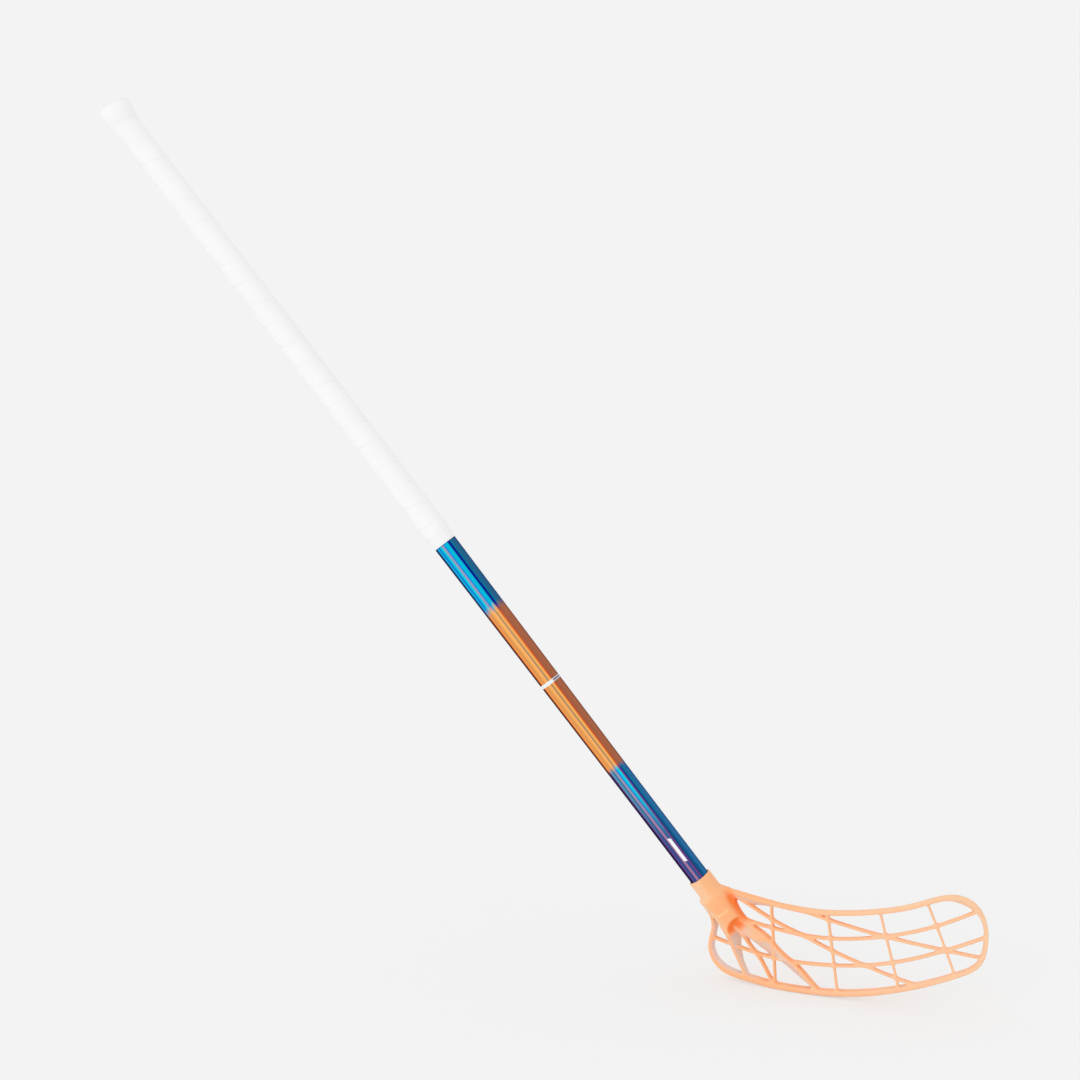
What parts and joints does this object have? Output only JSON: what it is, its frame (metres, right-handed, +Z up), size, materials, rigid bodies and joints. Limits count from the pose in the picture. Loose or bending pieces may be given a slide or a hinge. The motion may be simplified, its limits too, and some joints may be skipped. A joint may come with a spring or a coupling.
{
  "type": "floorball stick",
  "caption": "Floorball stick: a tapered tube with a flared, wound white grip and a hooked lattice blade moulded with a socket, for passing and shooting a light ball.",
  "frame": {"origin": "on the shaft's axis, in the middle of the upper hand's place on the grip", "axes": "+Z up in the playing pose, +X from the blade's heel to its toe, the shaft leaning towards -X; the blade's hollow side faces +Y"},
  "size_m": [0.8629, 0.0388, 0.8201],
  "materials": {
    "shaft_finish": "glossy metallic foil under clear lacquer on a glass and carbon fibre tube, blue with an orange middle zone",
    "plug_plastic": "satin white plastic",
    "knob_foam": "dense pale foam rubber",
    "underlay_tape": "thin pale self-adhesive backing",
    "grip_wrap": "soft white synthetic leather with a fine grain",
    "band_rubber": "satin white rubber with ridges",
    "blade_plastic": "satin, slightly translucent peach-orange polyethylene",
    "socket_tape": "thin double-sided tape",
    "screw_steel": "zinc-plated steel"
  },
  "bodies": {
    "root": {"shaft_tube": "shaft_finish", "end_plug": "plug_plastic", "knob_sleeve": "knob_foam", "grip_underlay": "underlay_tape", "grip_strip": "grip_wrap", "grip_band": "band_rubber", "blade": "blade_plastic", "blade_tape": "socket_tape", "blade_screw": "screw_steel"}
  },
  "joints": []
}
